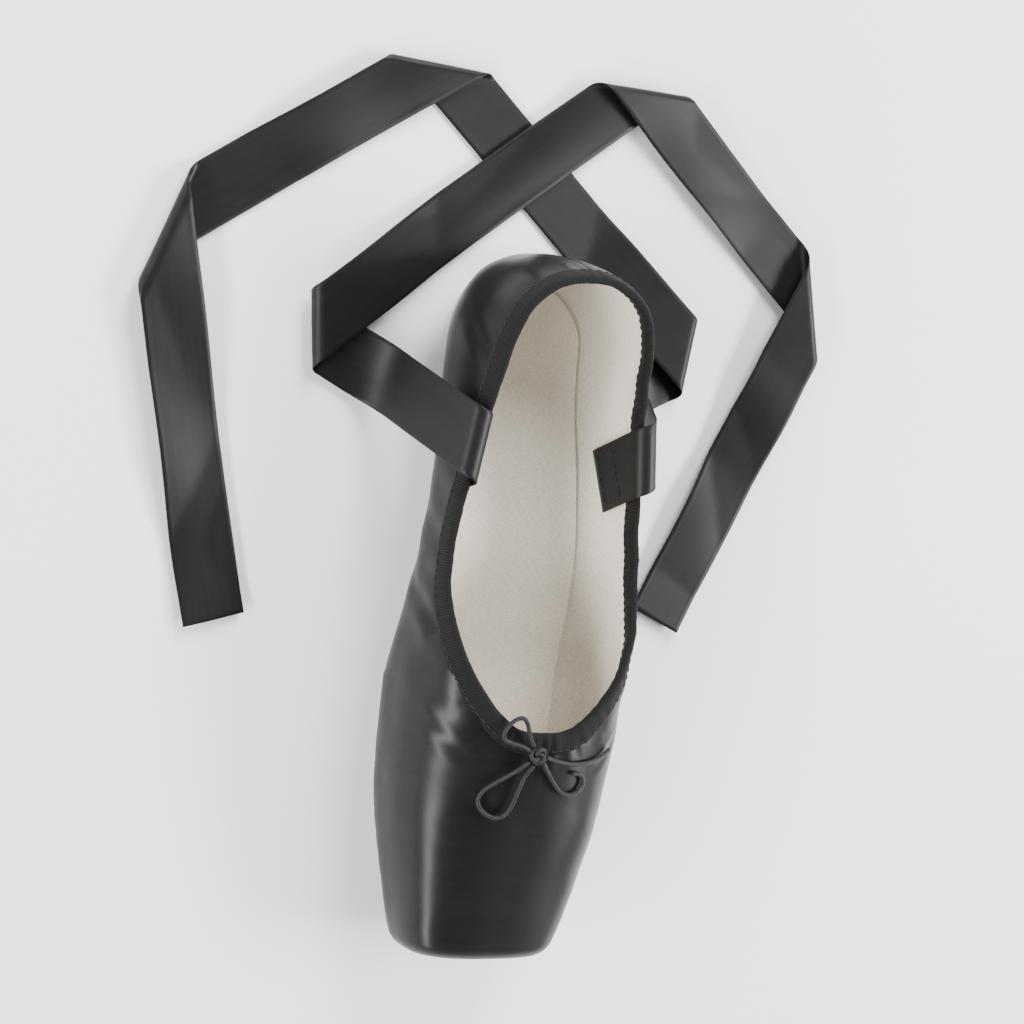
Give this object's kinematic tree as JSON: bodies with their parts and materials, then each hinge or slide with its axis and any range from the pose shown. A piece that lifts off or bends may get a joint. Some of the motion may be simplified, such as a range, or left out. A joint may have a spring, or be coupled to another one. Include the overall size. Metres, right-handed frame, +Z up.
{
  "type": "pointe shoe",
  "caption": "Black satin ballet pointe shoe with a bound collar, a drawstring bow at the throat and two sewn ankle ribbons laid down uncoiled.",
  "frame": {"origin": "on the floor, midway between the heel's back and the toe platform, on the shoe's centre line", "axes": "+X along the shoe to the toe platform, +Y to the shoe's left, +Z up from the floor"},
  "size_m": [0.2991, 0.2617, 0.0625],
  "materials": {
    "satin": "satin",
    "sole_leather": "matte",
    "lining_cotton": "matte",
    "binding_tape": "matte",
    "drawstring_cord": "satin",
    "ribbon_satin": "satin"
  },
  "bodies": {
    "root": {"upper": "satin", "outsole": "sole_leather", "insole": "lining_cotton", "binding": "binding_tape", "drawstring_knot": "drawstring_cord", "drawstring_loop_long": "drawstring_cord", "drawstring_loop_short": "drawstring_cord", "drawstring_end_outer": "drawstring_cord", "drawstring_end_inner": "drawstring_cord", "ribbon_left": "ribbon_satin", "ribbon_right": "ribbon_satin"}
  },
  "joints": []
}
